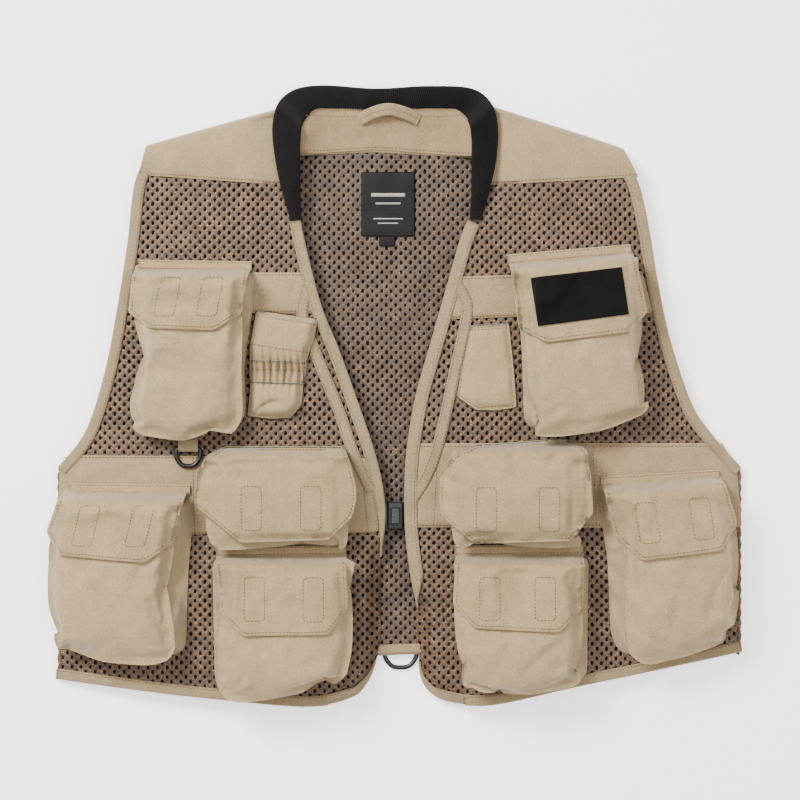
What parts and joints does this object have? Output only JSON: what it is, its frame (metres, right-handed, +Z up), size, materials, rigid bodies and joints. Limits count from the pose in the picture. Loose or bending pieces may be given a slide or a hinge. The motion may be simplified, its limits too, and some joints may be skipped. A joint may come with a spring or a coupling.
{
  "type": "fishing vest",
  "caption": "Mesh fishing vest lying on its back, with flapped cargo pockets, shoulder yokes, rib collar, waist buckle and D-rings.",
  "frame": {"origin": "under the middle of the vest's bounding box, on the surface it lies on", "axes": "+Z up off the surface, +Y towards the collar, +X to the viewer's right with the front up"},
  "size_m": [0.6072, 0.5471, 0.0579],
  "materials": {
    "mesh": "knitted holes",
    "rib_knit": "ribbed knit",
    "label": "satin weave",
    "buckle_plastic": "satin",
    "button_plastic": "knurled",
    "ring_plastic": "satin",
    "patch_loop": "loop pile",
    "hook_tape": "hooked tape",
    "loop_tape": "loop pile",
    "pocket_cloth": "matte woven",
    "flap_cloth": "matte woven",
    "yoke_cloth": "matte woven",
    "facing_cloth": "matte woven",
    "binding_tape": "matte woven",
    "elastic_cloth": "matte woven",
    "tan_webbing": "matte woven",
    "band_cloth": "matte woven"
  },
  "bodies": {
    "vest": {"back_hem_binding": "binding_tape", "back_mesh": "mesh", "back_yoke": "yoke_cloth", "buckle_socket": "buckle_plastic", "chest_ring_tab": "tan_webbing", "collar": "rib_knit", "left_armhole_binding": "binding_tape", "left_chest_band": "band_cloth", "left_chest_pocket": "pocket_cloth", "left_front_binding": "binding_tape", "left_front_mesh": "mesh", "left_gear_tape": "tan_webbing", "left_inner_lower_pocket": "pocket_cloth", "left_inner_upper_pocket": "pocket_cloth", "left_outer_pocket": "pocket_cloth", "left_shoulder_yoke": "yoke_cloth", "left_strap": "tan_webbing", "left_waist_band": "band_cloth", "loop_tapes": "loop_tape", "neck_facing": "facing_cloth", "neck_label": "label", "net_ring_tab": "tan_webbing", "right_armhole_binding": "binding_tape", "right_chest_band": "band_cloth", "right_chest_pocket": "pocket_cloth", "right_front_binding": "binding_tape", "right_front_mesh": "mesh", "right_gear_tape": "tan_webbing", "right_inner_lower_pocket": "pocket_cloth", "right_inner_upper_pocket": "pocket_cloth", "right_outer_pocket": "pocket_cloth", "right_shoulder_yoke": "yoke_cloth", "right_strap": "tan_webbing", "right_waist_band": "band_cloth", "side_pocket": "pocket_cloth", "tool_pocket": "pocket_cloth", "tool_pocket_elastic": "elastic_cloth"},
    "left_chest_flap_body": {"left_chest_flap": "flap_cloth", "left_chest_hook_tapes": "hook_tape"},
    "right_chest_flap_body": {"right_chest_flap": "flap_cloth", "right_chest_hook_tapes": "hook_tape", "flap_patch": "patch_loop"},
    "left_outer_flap_body": {"left_outer_flap": "flap_cloth", "left_outer_hook_tapes": "hook_tape"},
    "right_outer_flap_body": {"right_outer_flap": "flap_cloth", "right_outer_hook_tapes": "hook_tape"},
    "left_inner_upper_flap_body": {"left_inner_upper_flap": "flap_cloth", "left_inner_upper_hook_tapes": "hook_tape"},
    "right_inner_upper_flap_body": {"right_inner_upper_flap": "flap_cloth", "right_inner_upper_hook_tapes": "hook_tape"},
    "left_inner_lower_flap_body": {"left_inner_lower_flap": "flap_cloth", "left_inner_lower_hook_tapes": "hook_tape"},
    "right_inner_lower_flap_body": {"right_inner_lower_flap": "flap_cloth", "right_inner_lower_hook_tapes": "hook_tape"},
    "chest_ring_body": {"chest_d_ring": "ring_plastic"},
    "net_ring_body": {"net_d_ring": "ring_plastic"},
    "hanger_loop_body": {"hanger_loop": "tan_webbing"},
    "buckle_tongue_body": {"buckle_tongue": "buckle_plastic"},
    "buckle_button_body": {"buckle_button": "button_plastic"}
  },
  "joints": [
    {"name": "left_chest_flap_hinge", "type": "hinge", "parent": "vest", "child": "left_chest_flap_body", "pos_m": [-0.1802, 0.103, 0.05086], "axis": [-0.9976, 0, -0.0698], "range_deg": [0, 150]},
    {"name": "right_chest_flap_hinge", "type": "hinge", "parent": "vest", "child": "right_chest_flap_body", "pos_m": [0.15782, 0.11252, 0.05321], "axis": [-0.9945, -0.0785, 0.0695], "range_deg": [0, 150]},
    {"name": "left_outer_flap_hinge", "type": "hinge", "parent": "vest", "child": "left_outer_flap_body", "pos_m": [-0.24709, -0.093, 0.04863], "axis": [-0.9907, 0, -0.1357], "range_deg": [0, 150]},
    {"name": "right_outer_flap_hinge", "type": "hinge", "parent": "vest", "child": "right_outer_flap_body", "pos_m": [0.24238, -0.08348, 0.05031], "axis": [-0.9893, -0.0698, 0.1285], "range_deg": [0, 150]},
    {"name": "left_inner_upper_flap_hinge", "type": "hinge", "parent": "vest", "child": "left_inner_upper_flap_body", "pos_m": [-0.106, -0.0525, 0.0521], "axis": [-1, 0, 0], "range_deg": [0, 150]},
    {"name": "right_inner_upper_flap_hinge", "type": "hinge", "parent": "vest", "child": "right_inner_upper_flap_body", "pos_m": [0.1045, -0.049, 0.0521], "axis": [-1, 0, 0], "range_deg": [0, 150]},
    {"name": "left_inner_lower_flap_hinge", "type": "hinge", "parent": "vest", "child": "left_inner_lower_flap_body", "pos_m": [-0.101, -0.1485, 0.0541], "axis": [-1, 0, 0], "range_deg": [0, 150]},
    {"name": "right_inner_lower_flap_hinge", "type": "hinge", "parent": "vest", "child": "right_inner_lower_flap_body", "pos_m": [0.1085, -0.148, 0.0541], "axis": [-1, 0, 0], "range_deg": [0, 150]},
    {"name": "chest_ring_swing", "type": "hinge", "parent": "vest", "child": "chest_ring_body", "pos_m": [-0.1825, -0.046, 0.02115], "axis": [-1, 0, 0], "range_deg": [0, 100]},
    {"name": "net_ring_swing", "type": "hinge", "parent": "vest", "child": "net_ring_body", "pos_m": [0.004, -0.223, 0.0019], "axis": [1, 0, 0], "range_deg": [0, 90]},
    {"name": "hanger_loop_fold", "type": "hinge", "parent": "vest", "child": "hanger_loop_body", "pos_m": [-0.006, 0.238, 0.0024], "axis": [1, 0, 0], "range_deg": [0, 80]},
    {"name": "buckle_tongue_slide", "type": "slide", "parent": "vest", "child": "buckle_tongue_body", "axis": [-1, 0, 0], "range_m": [0, 0.018]},
    {"name": "buckle_button_press", "type": "slide", "parent": "vest", "child": "buckle_button_body", "axis": [0, 0, -1], "range_m": [0, 0.0012], "stiffness_N_per_m": 400}
  ]
}
